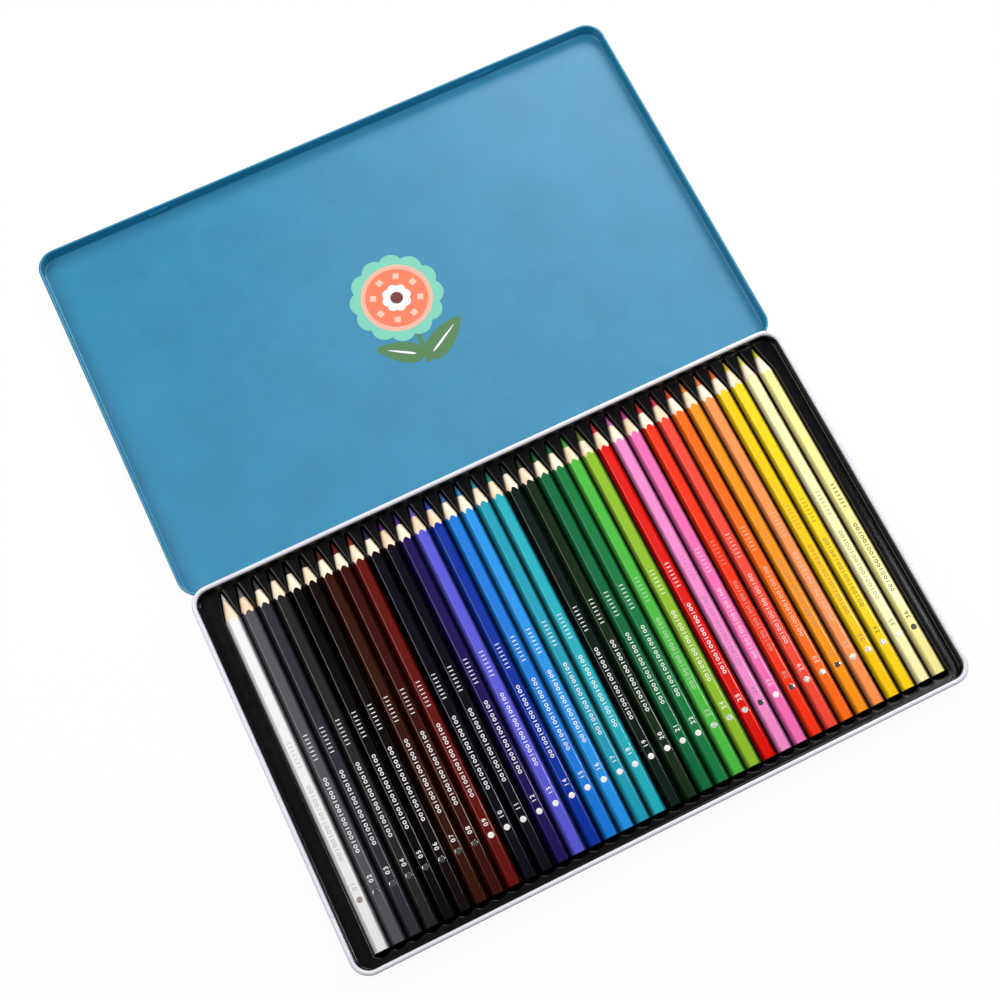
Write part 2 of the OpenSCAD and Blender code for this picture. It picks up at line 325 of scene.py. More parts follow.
def half_groove(grown, outermost, room):
    """One groove from its middle to its side, as rows from front to back of (x, y, z) points. The
    upper face of the sheet has grown = 0, and the lower face has the sheet's thickness. Beside the
    outermost grooves the land runs out to room, the distance to the land's side edge."""
    lip = max(lip_r - grown, least_lip)
    fillet = groove_fillet + grown
    radius = groove_r + grown
    top = land_z - grown
    half_w = groove_r - wall_tuck + grown
    side = half_w if outermost else pitch / 2
    end_y = min(notch_end + grown, land_back - notch_stop)
    across = radius * np.sin(np.linspace(0, math.asin(side / radius), ACROSS))
    bend = np.radians(np.linspace(90, 0, LIP))
    lip_out, lip_drop = lip * (1 - np.sin(bend)), lip * (1 - np.cos(bend))

    def trough(x, r):
        return axis_z - np.sqrt(r * r - x * x)

    def end_line(x):
        y = scallop_y - np.sqrt((scallop_r + grown) ** 2 - x * x)
        if not outermost:
            steep = side / math.sqrt((scallop_r + grown) ** 2 - side ** 2)
            y = y - steep * np.maximum(x - side + cusp_round, 0) ** 2 / (2 * cusp_round)
        return y

    front = end_line(across)
    rows = []  # y and z of the groove's points, how far outside the recess the row lies, half width
    for share in (0, 0.5):
        rows.append((land_front + (front - lip - land_front) * share, top + 0 * across, lip, side))
    for out, drop in zip(lip_out[::-1], lip_drop[::-1]):
        rows.append((front - out, top - drop + 0 * across, out, side))
    for turn in np.radians([0, 45, 90]):
        y = front + fillet * (1 - math.cos(turn))
        rows.append((y, trough(across, radius) + fillet * (1 - math.sin(turn)), None, side))
    for y in (butt_y + 3 * MM, butt_y + 20 * MM, shoulder_y - 20 * MM, shoulder_y):
        rows.append((y + 0 * across, trough(across, radius), None, side))
    narrowing = groove_r - point_half_w
    start = (half_w - pitch / 2) / narrowing
    for share in (0, 0.01, 0.03, 0.07, 0.15, 0.25, 0.37, 0.5, 0.6, 0.7, 0.78, 0.85, 0.91, 0.96, 1):
        t = start + (1 - start) * share
        y = shoulder_y + (end_y - shoulder_y) * t
        edge = half_w - narrowing * t
        x = across / side * edge
        rows.append((y + 0 * x, trough(x, radius - narrowing * t), None, edge))
    for out, drop in zip(notch_lip * (1 - np.sin(bend)), notch_lip * (1 - np.cos(bend))):
        y = min(end_y + out, land_back) if drop else land_back
        rows.append((y + 0 * across, top - drop + 0 * across, out, edge))

    points = np.zeros((len(rows), ACROSS + LIP + LAND, 3))
    for row, (y, z, out, edge) in enumerate(rows):
        x = across / side * edge
        points[row, :ACROSS] = np.stack((x, y, z), axis=1)
        finger = pitch / 2 - edge
        share = 1 if outermost else min(1, max(finger, 0) / lip)
        on_land = out is not None
        for k in range(LIP):
            height = top - lip_drop[k] * share
            if on_land:
                height = max(height, z[-1])
            if not outermost and finger <= 0 and (on_land or finger < -1e-9):
                height = z[-1]
            points[row, ACROSS + k] = (edge + lip_out[k] * share, y[-1], height)
        last = points[row, ACROSS + LIP - 1]
        if outermost:
            corner = land_corner_r
            if row <= FRONT_ARC:
                a = math.radians(90 * row / FRONT_ARC)
                target = (room - corner + corner * math.sin(a), land_front + corner * (1 - math.cos(a)))
            elif row >= len(rows) - 1 - BACK_ARC:
                a = math.radians(90 * (len(rows) - 1 - row) / BACK_ARC)
                target = (room - corner + corner * math.sin(a), land_back - corner * (1 - math.cos(a)))
            else:
                target = (room, y[-1])
        else:
            target = (pitch / 2, y[-1])
        for k in range(LAND):
            spot = points[row, ACROSS + LIP + k]
            spot[:2] = last[:2] + (np.array(target) - last[:2]) * (k + 1) / LAND
            spot[2] = top if (outermost or finger > 0) else last[2]
    return points


def insert_face(grown):
    """The whole upper or lower face of the insert, as rows and columns of points."""
    columns = []
    for i, x in enumerate(pencil_x):
        for side in (-1, 1):
            outermost = (i == 0 and side < 0) or (i == len(pencil_x) - 1 and side > 0)
            half = half_groove(grown, outermost, land_side - side * x)
            half[:, :, 0] = x + side * half[:, :, 0]
            columns.append(half[:, ::-1] if side < 0 else half[:, 1:])
    return np.concatenate(columns, axis=1)


upper, lower = insert_face(0), insert_face(insert_t)
row_count, column_count = upper.shape[:2]
edge_cells = [(0, c) for c in range(column_count)]
edge_cells += [(r, column_count - 1) for r in range(1, row_count)]
edge_cells += [(row_count - 1, c) for c in range(column_count - 2, -1, -1)]
edge_cells += [(r, 0) for r in range(row_count - 2, 0, -1)]


def facing(row, column):
    """The direction that faces outward at a point on the land's outer edge."""
    if row <= FRONT_ARC:
        a = math.radians(90 * row / FRONT_ARC)
        along = -math.cos(a)
    elif row >= row_count - 1 - BACK_ARC:
        a = math.radians(90 * (row_count - 1 - row) / BACK_ARC)
        along = math.cos(a)
    else:
        a, along = math.pi / 2, 0
    if 0 < column < column_count - 1:
        return 0, math.copysign(1, along)
    return math.sin(a) * (1 if column else -1), along


wall_section = [(land_foot_r * math.sin(a), land_z + land_foot_r * (1 - math.cos(a)))
                for a in np.radians([22.5, 45, 67.5, 90])]
outer_r = land_foot_r + insert_t
wall_section += [
    (land_foot_r, insert_high.z - wall_edge_r),
    (land_foot_r + wall_edge_r, insert_high.z),
    (outer_r - wall_edge_r, insert_high.z),
    (outer_r, insert_high.z - wall_edge_r),
]
wall_section += [(outer_r * math.cos(a), land_z + land_foot_r - outer_r * math.sin(a))
                 for a in np.radians([0, 30, 60])]

edge_points = np.array([upper[cell] for cell in edge_cells])
outward = np.array([facing(*cell) for cell in edge_cells])
wall = [edge_points]
for out, height in wall_section:
    ring = edge_points.copy()
    ring[:, :2] += outward * out
    ring[:, 2] = height
    wall.append(ring)
wall.append(np.array([lower[cell] for cell in edge_cells]))

points = np.concatenate([upper.reshape(-1, 3), lower.reshape(-1, 3)] + wall)
grid = np.arange(row_count * column_count).reshape(row_count, column_count)
quads = np.stack((grid[:-1, :-1], grid[:-1, 1:], grid[1:, 1:], grid[1:, :-1]), axis=-1).reshape(-1, 4)
ring_len = len(edge_cells)
rings = 2 * grid.size + np.arange(len(wall) * ring_len).reshape(len(wall), ring_len)
after = np.roll(rings, -1, axis=1)
wall_quads = np.stack((rings[:-1], rings[1:], after[1:], after[:-1]), axis=-1).reshape(-1, 4)
faces = np.concatenate((quads, quads[:, ::-1] + grid.size, wall_quads))
insert_data = bpy.data.meshes.new("insert_sheet")
insert_data.from_pydata(points.tolist(), [], faces.tolist())
insert_mesh = bmesh.new()
insert_mesh.from_mesh(insert_data)
bmesh.ops.remove_doubles(insert_mesh, verts=insert_mesh.verts, dist=2 * weld)
bmesh.ops.dissolve_degenerate(insert_mesh, edges=insert_mesh.edges, dist=weld)

black_plastic = Finish("black_formed_plastic", "#0c0c0d", Roughness=0.25)
black_plastic.tint(black_plastic.noise(14 * MM), "#09090a", "#0f0f11")
black_plastic.polish(black_plastic.noise(4 * MM, detail=5), 0.16, 0.26)
black_plastic.shader.inputs["Specular IOR Level"].default_value = 0.35
black_plastic.relief(black_plastic.noise(0.5 * MM, detail=2), 0.006 * MM)

insert = shape("insert_finished", insert_mesh, black_plastic.material, sharp=50)
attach(insert, "base")
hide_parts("insert")


# ---- Pencils ----
# Coloured pencils with a hexagonal cedar casing, flats up: several coats of gloss lacquer, the flat
# end and the last half millimetre of the casing coloured black, foil-stamped marks on the upper flat,
# and a cone turned by the sharpener, where the lacquer ends in scallops on the flats. The coloured
# lead is glued in the casing's bore.

across_flats = 6.78 * MM
lead_r = 1.65 * MM
tip_r = 0.3 * MM
coat_t = 0.05 * MM
edge_softness = 0.12 * MM
long_rag, short_rag, lead_rag = 1.1 * MM, 1.6 * MM, 1.2 * MM
foil_t = 0.012 * MM
dot_r, dot_y = 1.38 * MM, 23.8 * MM
number_size, number_line, number_x, number_y = 2.9 * MM, 0.16 * MM, 1.0 * MM, 28.2 * MM
ring_r, ring_w = 0.68 * MM, 0.42 * MM
bar_len, bar_w = 2.0 * MM, 0.44 * MM
lacquers = (
    "#eceaea #525358 #2f3037 #252524 #070607 #100706 #361204 #3a0a06 #600f06 #090812 #0d0816 #1e1052 "
    "#5757d1 #06309a #1477d5 #2190e1 #1c9ab4 #22abbb #0e1d18 #162a17 #10663c #18773f #4bb740 #8cba2a "
    "#dc0f06 #f488c6 #f56caf #f3310f #f34837 #fb6910 #fb9311 #fc9350 #fcc606 #fcd416 #fcf3b3 #f9ec98"
).split()
leads = (
    "#f6efe2 #6a6c70 #4a4c50 #3a3a38 #262628 #2c1c1a #6a3218 #7a2018 #9a3020 #2a2a44 #5a2470 #4a3090 "
    "#7a70d8 #2850b8 #4878b0 #3890e0 #30a0b0 #2c9a88 #284038 #38482c #2a6a35 #2c8048 #50b848 #7a8a30 "
    "#e83848 #e070c0 #d840a0 #d83838 #e03858 #f85828 #ff8a28 #f89050 #f87028 #ffe020 #fff080 #f0e038"
).split()
foils = ["#cabfb4"] + ["#f0f0f0"] * 21 + ["#b8d0b0", "#eef2e0", "#f0f0f0", "#bc80b8", "#ecccdf"]
foils += ["#c09086", "#ecc6be", "#e0bca4", "#b88c60", "#deb8a2", "#b4903c", "#9c8634", "#9c966c", "#50502c"]
dots = ["#a89490"] + ["mirror"] * 7 + ["#f4f2ee"] * 14 + ["patchy"] * 3 + ["mirror", "#f4f2ee", "mirror"]
dots += ["patchy", "patchy", "mirror"] + ["patchy"] * 3 + ["#e4e2cc", "#303024"]


class Amount:
    """A number in a node tree, so that a rule for a shape can be written as plain arithmetic."""

    def __init__(self, tree, socket):
        self.tree = tree
        self.socket = socket

    def work(self, operation, *others):
        node = self.tree.nodes.new("ShaderNodeMath")
        node.operation = operation
        for slot, value in zip(node.inputs, (self, *others)):
            if isinstance(value, Amount):
                self.tree.links.new(value.socket, slot)
            else:
                slot.default_value = value
        return Amount(self.tree, node.outputs[0])

    def __add__(self, other):
        return self.work("ADD", other)

    def __sub__(self, other):
        return self.work("SUBTRACT", other)

    def __mul__(self, other):
        return self.work("MULTIPLY", other)

    def __truediv__(self, other):
        return self.work("DIVIDE", other)


class Recipe:
    """A node tree that makes a shape from named inputs."""

    def __init__(self, name, **inputs):
        self.tree = bpy.data.node_groups.new(name, "GeometryNodeTree")
        self.sockets = {}
        for label, kind in inputs.items():
            socket = self.tree.interface.new_socket(label, in_out="INPUT", socket_type=f"NodeSocket{kind}")
            self.sockets[label] = socket.identifier
        self.tree.interface.new_socket("Geometry", in_out="OUTPUT", socket_type="NodeSocketGeometry")
        given = self.tree.nodes.new("NodeGroupInput")
        self.given = {label: given.outputs[label] for label in inputs}
        self.out = self.tree.nodes.new("NodeGroupOutput")

    def amount(self, label):
        return Amount(self.tree, self.given[label])

    def step(self, kind, settings=None, **inputs):
        """Adds one node. Its inputs are numbers, or what another step gives."""
        node = self.tree.nodes.new(kind)
        for name, value in (settings or {}).items():
            setattr(node, name, value)
        for name, value in inputs.items():
            slot = node.inputs[name.replace("_", " ")]
            if isinstance(value, Amount):
                value = value.socket
            if isinstance(value, bpy.types.Node):
                value = value.outputs[0]
            if isinstance(value, bpy.types.NodeSocket):
                self.tree.links.new(value, slot)
            else:
                slot.default_value = value
        return node

    def place(self, x=0.0, y=0.0, z=0.0):
        return self.step("ShaderNodeCombineXYZ", X=x, Y=y, Z=z)

    def pick(self, index, values):
        """Of a list of numbers, the one that stands at index."""
        node = self.tree.nodes.new("GeometryNodeIndexSwitch")
        node.data_type = "FLOAT"
        while len(node.index_switch_items) < len(values):
            node.index_switch_items.new()
        self.tree.links.new(index.socket, node.inputs["Index"])
        for slot, value in zip(list(node.inputs)[1:], values):
            if isinstance(value, Amount):
                self.tree.links.new(value.socket, slot)
            else:
                slot.default_value = value
        return Amount(self.tree, node.outputs[0])

    def join(self, *shapes):
        node = self.tree.nodes.new("GeometryNodeJoinGeometry")
        for made in shapes:
            self.tree.links.new(made.outputs[0], node.inputs[0])
        return node

    def give(self, shape):
        self.tree.links.new(shape.outputs[0], self.out.inputs[0])

    def make(self, name, **values):
        """The shape for these inputs, as a plain mesh object."""
        piece = set_down(name, bpy.data.meshes.new(name))
        modifier = piece.modifiers.new("recipe", "NODES")
        modifier.node_group = self.tree
        for label, value in values.items():
            modifier[self.sockets[label]] = value
        bpy.context.view_layer.update()
        evaluated = piece.evaluated_get(bpy.context.evaluated_depsgraph_get())
        made = bpy.data.meshes.new_from_object(evaluated)
        piece.modifiers.clear()
        piece.data = made
        made.name = name
        return piece


pencil = Recipe(
    "coloured_pencil",
    Length="Float", Flat_radius="Float", Edge_radius="Float", Sharpened="Float", Lead_radius="Float",
    Number="String", Seed="Float", Roll="Float", Place="Vector",
    Lacquer="Material", Dip="Material", Wood="Material", Lead="Material", Foil="Material", Dot="Material",
)
AROUND, ROWS = 96, 24
length, edge_r = pencil.amount("Length"), pencil.amount("Edge_radius")
net = pencil.step("GeometryNodeMeshGrid", Size_X=1.0, Size_Y=1.0, Vertices_X=AROUND + 1, Vertices_Y=ROWS)
spot = pencil.step("ShaderNodeSeparateXYZ", Vector=pencil.step("GeometryNodeInputPosition"))
around = Amount(pencil.tree, spot.outputs["X"]) + 0.5
row = (Amount(pencil.tree, spot.outputs["Y"]) + 0.5) * (ROWS - 1.0)
station = row.work("ROUND")

# The hexagon: each facet's points crowd towards its two edges
turn = around * 6
facet = turn.work("FLOOR")
along_facet = turn.work("FRACT") * 2 - 1
crowded = (along_facet.work("ABSOLUTE") * -1 + 1).work("POWER", 1.7) * -1 + 1
lean = crowded * along_facet.work("SIGN") * math.radians(30)
angle = (facet + 0.5) * math.radians(60) + lean
flat_distance = pencil.amount("Flat_radius") / lean.work("COSINE")
hexagon = flat_distance.work("SMOOTH_MIN", edge_r, edge_softness)

# The sharpener's cone meets the hexagon further up on the flats than on the edges
slope = (edge_r - tip_r) / pencil.amount("Sharpened")
sine, cosine = angle.work("SINE"), angle.work("COSINE")


def ragged(size, shift):
    """A value about zero that wanders along the line round the pencil, another for each pencil."""
    where = pencil.place(cosine * size, sine * size, pencil.amount("Seed") * 7.3 + shift)
    noise = pencil.step("ShaderNodeTexNoise", Vector=where, Scale=1.0, Detail=2.0)
    return Amount(pencil.tree, noise.outputs[0]) - 0.5


meets = length - (hexagon - tip_r) / slope
bare = meets - (ragged(9, 0) * long_rag).work("ABSOLUTE") - (ragged(2.5, 5) * short_rag).work("ABSOLUTE")
wood_r = hexagon - coat_t
lead_line = length - (pencil.amount("Lead_radius") - tip_r) / slope + ragged(1.6, 9) * lead_rag


def cone(y):
    return (length - y) * slope + tip_r - coat_t


rows = [
    (0.5 * MM, 0.0),
    (0.4 * MM, hexagon * 0.5),
    (0.1 * MM, hexagon - 0.8 * MM),
    (0.0, hexagon - 0.45 * MM),
    (0.06 * MM, hexagon - 0.2 * MM),
    (0.22 * MM, hexagon - 0.05 * MM),
    (0.5 * MM, hexagon),
    (length * 0.33, hexagon),
    (length * 0.66, hexagon),
    (bare, hexagon),
    (bare + 0.05 * MM, wood_r),
    (meets, wood_r),
]
for share in (0.12, 0.35, 0.65):
    y = meets + (lead_line - meets) * share
    rows.append((y, cone(y)))
for step_y, sunk in ((-0.1, 0), (0, 0.03), (0.15, 0.05)):
    y = lead_line + step_y * MM
    rows.append((y, cone(y) - sunk * MM))
for share in (0.4, 0.8):
    y = lead_line + (length - lead_line) * share
    rows.append((y, cone(y) - 0.05 * MM))
rows += [
    (length - 0.35 * MM, cone(length - 0.35 * MM)),
    (length - 0.14 * MM, 0.2 * MM),
    (length - 0.03 * MM, 0.1 * MM),
    (length, 0.0),
]
distance = pencil.pick(station, [y for y, r in rows])
spread = pencil.pick(station, [r for y, r in rows])
place = pencil.place(spread * cosine, distance, spread * sine)
span = pencil.step("GeometryNodeCaptureAttribute", {"domain": "FACE"}, Geometry=net)
span.capture_items.new("FLOAT", "Row")
pencil.tree.links.new(row.socket, span.inputs["Row"])
rod = pencil.step("GeometryNodeSetPosition", Geometry=span, Position=place)
rod = pencil.step("GeometryNodeMergeByDistance", Geometry=rod, Distance=weld)
rod = pencil.step("GeometryNodeFlipFaces", Mesh=rod)
face_row = Amount(pencil.tree, span.outputs["Row"])

# The foil marks: a dot, the pencil's number, a chain of rings and bars, and a few bars more
foil_z = pencil.amount("Flat_radius") + foil_t * 0.3
quarter = math.radians(90)
dot = pencil.step("GeometryNodeMeshUVSphere", Segments=28, Rings=16, Radius=dot_r)
dot = pencil.step("GeometryNodeTransform", Geometry=dot, Translation=pencil.place(0.0, dot_y, foil_z),
                  Scale=(1, 1, 0.05))
dot = pencil.step("GeometryNodeSetMaterial", Geometry=dot, Material=pencil.given["Dot"])
glyphs = pencil.step("GeometryNodeStringToCurves", String=pencil.given["Number"], Size=number_size,
                     Character_Spacing=1.35)
glyphs = pencil.step("GeometryNodeRealizeInstances", Geometry=glyphs)
stroke = pencil.step("GeometryNodeCurvePrimitiveQuadrilateral", Width=number_line, Height=foil_t * 1.4)
stroke = pencil.step("GeometryNodeCurveToMesh", Curve=glyphs, Profile_Curve=stroke)
glyphs = pencil.step("GeometryNodeFillCurve", Curve=glyphs)
raised = pencil.step("GeometryNodeExtrudeMesh", Mesh=glyphs, Offset_Scale=foil_t, Individual=False)
number = pencil.join(raised, pencil.step("GeometryNodeFlipFaces", Mesh=glyphs))
number = pencil.step("GeometryNodeMergeByDistance", Geometry=number, Distance=weld)
number = pencil.join(number, stroke)
number = pencil.step("GeometryNodeTransform", Geometry=number, Rotation=(0, 0, quarter),
                     Translation=pencil.place(number_x, number_y, foil_z - foil_t / 2))
loop = pencil.step("GeometryNodeCurvePrimitiveCircle", Resolution=18, Radius=ring_r)
band = pencil.step("GeometryNodeCurvePrimitiveQuadrilateral", Width=ring_w, Height=foil_t)
ring = pencil.step("GeometryNodeCurveToMesh", Curve=loop, Profile_Curve=band)
bar = pencil.step("GeometryNodeMeshCube", Size=(bar_len, bar_w, foil_t))
kinds = pencil.tree.nodes.new("GeometryNodeGeometryToInstance")
for made in (bar, ring):
    pencil.tree.links.new(made.outputs[0], kinds.inputs[0])
order = Amount(pencil.tree, pencil.step("GeometryNodeInputIndex").outputs[0])
chains = []
for count, start_y, gap, every in ((17, 42.9 * MM, 2.13 * MM, 3), (7, 86.8 * MM, 1.95 * MM, 1)):
    line = pencil.step("GeometryNodeMeshLine", Count=count, Start_Location=(0, start_y, 0),
                       Offset=(0, gap, 0))
    is_bar = (order + 1).work("MODULO", float(every)).work("LESS_THAN", 0.5)
    placed = pencil.step("GeometryNodeInstanceOnPoints", Points=line, Instance=kinds, Pick_Instance=True)
    pencil.tree.links.new(is_bar.socket, placed.inputs["Instance Index"])
    chains.append(pencil.step("GeometryNodeTransform", Geometry=placed,
                              Translation=pencil.place(0.0, 0.0, foil_z)))
marks = pencil.step("GeometryNodeRealizeInstances", Geometry=pencil.join(number, *chains))

# Each finish begins past a numbered row of points, from the black flat end to the point. The pencil
# is then turned a little and set in its groove.
for label, start in (("Dip", -1), ("Lacquer", 6), ("Wood", 10), ("Lead", 16)):
    chosen = face_row.work("GREATER_THAN", float(start))
    rod = pencil.step("GeometryNodeSetMaterial", Geometry=rod, Selection=chosen,
                      Material=pencil.given[label])
marks = pencil.step("GeometryNodeSetMaterial", Geometry=marks, Material=pencil.given["Foil"])
both = pencil.join(rod, marks, dot)
turned = pencil.step("GeometryNodeTransform", Geometry=both, Translation=pencil.given["Place"],
                     Rotation=pencil.place(0.0, pencil.amount("Roll"), 0.0))
pencil.give(pencil.step("GeometryNodeRealizeInstances", Geometry=turned))


def lacquer_finish(name, colour):
    finish = Finish(name, colour, Roughness=0.18)
    finish.polish(finish.noise(2 * MM, (1, 6, 1)), 0.14, 0.22)
    finish.relief(finish.noise(0.5 * MM, (1, 25, 1), detail=2), 0.012 * MM)
    return finish.material


def lead_finish(name, colour):
    finish = Finish(name, colour, Roughness=0.5)
    finish.polish(finish.noise(0.4 * MM), 0.4, 0.65)
    finish.relief(finish.noise(0.15 * MM, (1, 2, 1)), 0.02 * MM)
    return finish.material


cedar = Finish("sharpened_cedar", "#f6e2c4", Roughness=0.6)
cedar.tint(cedar.noise(9 * MM, (1, 6, 1), detail=1), "#f2d2b0", "#fcecd2", 0.4, 0.55)
cedar.polish(cedar.noise(0.5 * MM), 0.5, 0.7)
cedar.relief(cedar.noise(0.2 * MM, (1, 6, 1), detail=2), 0.02 * MM)

# The flat end and the last half millimetre of the casing are coloured black.
black_end = Finish("black_dipped_end", "#0c0c0e", Roughness=0.3)
black_end.polish(black_end.noise(1 * MM), 0.25, 0.4)
black_end.relief(black_end.noise(0.8 * MM), 0.02 * MM)


def foil_finish(name, colour, metallic, rough, dents):
    """Hot-stamped foil, smooth as a mirror or milky, that dips here and there by dents."""
    finish = Finish(name, colour, Roughness=rough, Metallic=metallic)
    finish.polish(finish.noise(0.6 * MM), rough * 0.8, rough * 1.2)
    finish.relief(finish.noise(0.9 * MM, detail=1), dents)
    return finish.material


foil_by_colour = {
    "mirror": foil_finish("foil_mirror", "#e8e8ea", 1.0, 0.12, 0.01 * MM),
    "patchy": foil_finish("foil_patchy", "#e4e6e0", 0.4, 0.25, 0.25 * MM),
}
for colour in sorted({colour for colour in foils + dots if colour[0] == "#"}):
    foil_by_colour[colour] = foil_finish(f"foil_{colour[1:]}", colour, 0.2, 0.35, 0.004 * MM)

shake = random.Random(36)
for i, name in enumerate(pencil_names):
    low, high = pencil_boxes[i]
    piece = pencil.make(
        f"{name}_finished",
        Length=high.y - low.y, Flat_radius=across_flats / 2, Edge_radius=casing_r, Sharpened=sharp_len,
        Lead_radius=lead_r * shake.uniform(0.94, 1.1), Number=f"{i + 1:02d}", Seed=float(i),
        Roll=math.radians(shake.uniform(-3, 3)), Place=(pencil_x[i], low.y, axis_z),
        Lacquer=lacquer_finish(f"{name}_lacquer", lacquers[i]), Dip=black_end.material, Wood=cedar.material,
        Lead=lead_finish(f"{name}_lead", leads[i]),
        Foil=foil_by_colour[foils[i]], Dot=foil_by_colour[dots[i]],
    )
    smooth(piece.data, 38)
    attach(piece, name)
    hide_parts(name)


# ---- Lid ----
# The upper half of the tin, lying open: drawn from the same tinplate, lacquered teal, with a small
# curl rolled outward along its edge. Two catches are stamped into its front wall, and each hinge
# has a notch with a rolled knuckle on both sides of the tray's.

curl_d = 1.2 * MM
curl_end = -112
lid_foot_r = 1.3 * MM
lid_corner_r = 8.4 * MM
catch_x = 88 * MM
catch_len = 11.5 * MM
catch_r = 1.6 * MM
catch_depth = 0.7 * MM
catch_z = 3.45 * MM
lid_fit = 0.3 * MM
lid_overlap = 0.2 * MM
knuckle_gap = 0.3 * MM
lid_knuckle_len = 6 * MM
notch_gap = 0.4 * MM
catch_softness = 0.15 * MM
eye_foot, eye_neck, eye_set = 0.7 * MM, 0.3 * MM, 0.02 * MM

lid_low, lid_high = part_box("lid")
lid_w = lid_high.x - lid_low.x - 2 * curl_d
lid_far = lid_high.y - curl_d
lid_near = 2 * hinge_y - (tray_back + bead_d + lid_fit)
lid_d = lid_far - lid_near
lid_rim_z = hinge_z + lid_overlap
curl_z = lid_rim_z - curl_d / 2
curl_half = tray_knuckle_len / 2 + 2 * knuckle_gap + lid_knuckle_len
notch_half = tray_knuckle_len / 2 + knuckle_gap
notch_z = hinge_z - knuckle_r - notch_gap


def stamped(point, facing_back):
    """Presses the catches into the far wall."""
    if facing_back < 0.99:
        return point
    beside = max(abs(abs(point.x) - catch_x) - (catch_len / 2 - catch_r), 0)
    reach = math.hypot(beside, point.z - catch_z)
    if reach < catch_r:
        depth = math.sqrt(catch_r ** 2 - reach ** 2) - (catch_r - catch_depth)
        point.y -= (depth + math.hypot(depth, catch_softness)) / 2
    return point


def hinge_cut(point, following, height, row):
    """Whether a stretch of the near wall is left out for a hinge."""
    if point[3] > -0.99 or following[3] > -0.99:
        return False
    beside = abs(abs((point[0] + following[0]) / 2) - hinge_x)
    return (beside < curl_half and row >= curl_row) or (beside < notch_half and height > notch_z + 1e-6)


wall_heights = [lid_foot_r + (notch_z - lid_foot_r) * k / 12 for k in range(1, 13)]
lid_section = arc(tin_t - lid_foot_r, lid_foot_r, lid_foot_r - tin_t, -90, 0, 6)
lid_section += [(0, z) for z in wall_heights]
curl_row = len(lid_section)
lid_section += arc(curl_d / 2, curl_z, curl_d / 2, 180, curl_end, 20)
near_stops = [side * hinge_x + end * half for side in (-1, 1) for end in (-1, 1)
              for half in (curl_half, notch_half)]
catch_steps = np.linspace(-0.56, 0.56, 31) * catch_len
far_stops = [side * catch_x + step for side in (-1, 1) for step in catch_steps]
lid_path = rim(lid_w, lid_d, lid_corner_r, lid_near, near_stops=near_stops, far_stops=far_stops)
lid_mesh = thickened(drawn_sheet(lid_path, lid_section, hinge_cut, stamped), tin_t)
wall_y = lid_near - tin_t / 2
eye = [(wall_y, curl_z - eye_foot), (wall_y - eye_set, curl_z - eye_neck)]
eye += arc(hinge_y, hinge_z, eye_r, 225, -90, 24)
for side in (-1, 1):
    for end in (-1, 1):
        middle = side * hinge_x + end * (curl_half - knuckle_gap - lid_knuckle_len / 2)
        add_rolled_strip(lid_mesh, eye, tin_t, middle - lid_knuckle_len / 2, middle + lid_knuckle_len / 2)

teal_lacquer = Finish("teal_lacquered_tin", "#167b9e", Roughness=0.38)
teal_lacquer.shader.inputs["Specular IOR Level"].default_value = 0.9
teal_lacquer.tint(teal_lacquer.noise(30 * MM, detail=4), "#107a9f", "#1682a8")
teal_lacquer.polish(teal_lacquer.noise(5 * MM, detail=2), 0.36, 0.42)
teal_lacquer.relief(teal_lacquer.noise(0.35 * MM, detail=3), 0.006 * MM)

lid = shape("lid_finished", lid_mesh, teal_lacquer.material)
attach(lid, "lid")
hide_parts("lid")


# ---- Print on the lid ----
# A flower, screen-printed on the lid's inner face in seven inks. Each ink is a film a hundredth of
# a millimetre thick, laid over the ones before it.

ink_t = 0.012 * MM
ink_sunk = 0.005 * MM
bloom_x, bloom_y, bloom_r = -2 * MM, 95 * MM, 23 * MM
rim_r, disc_r, middle_r, seed_r = 17.4 * MM, 15.2 * MM, 7.2 * MM, 3.1 * MM
spot_ring_r, spot_r = 11.4 * MM, 2.1 * MM
stem_foot, stem_half_w, stem_bend = 58 * MM, 1.1 * MM, 1.6 * MM
vein_start, vein_short, vein_w = 4, 9, 1.1 * MM
inks = []
ink_mesh = bmesh.new()


def ink(name, colour):
    """Mixes an ink. What is printed next is printed with it."""
    finish = Finish(f"ink_{name}", colour, Roughness=0.42)
    finish.polish(finish.noise(1.5 * MM), 0.36, 0.5)
    finish.relief(finish.noise(0.3 * MM, detail=2), 0.003 * MM)
    inks.append(finish.material)


def printed(outline, layer):
    """Prints a flat figure, with its outline given counter-clockwise, on top of the lower layers."""
    ends = []
    for z in (tin_t - ink_sunk, tin_t + ink_t * (layer + 1)):
        ends.append([ink_mesh.verts.new((x, y, z)) for x, y in outline])
    made = [ink_mesh.faces.new(ends[0][::-1]), ink_mesh.faces.new(ends[1])]
    for k in range(len(outline)):
        n = (k + 1) % len(outline)
        made.append(ink_mesh.faces.new((ends[0][k], ends[0][n], ends[1][n], ends[1][k])))
    for face in made:
        face.material_index = len(inks) - 1


def around_bloom(radius_at):
    """A closed line round the middle of the bloom, with the radius as a rule of the angle."""
    steps = 144
    angles = [2 * math.pi * k / steps for k in range(steps)]
    return [(bloom_x + radius_at(a) * math.cos(a), bloom_y + radius_at(a) * math.sin(a)) for a in angles]


def leaf(x, y, turn, size, width):
    """A leaf with a pointed end, from its foot at (x, y)."""
    line = []
    for k in range(48):
        t = 2 * math.pi * k / 48
        along = size * (1 - math.cos(t)) / 2
        beside = -width / 2 * math.sin(t) * (1 - 0.55 * along / size) * 1.25
        line.append((x + along * math.cos(turn) - beside * math.sin(turn),
                     y + along * math.sin(turn) + beside * math.cos(turn)))
    return line


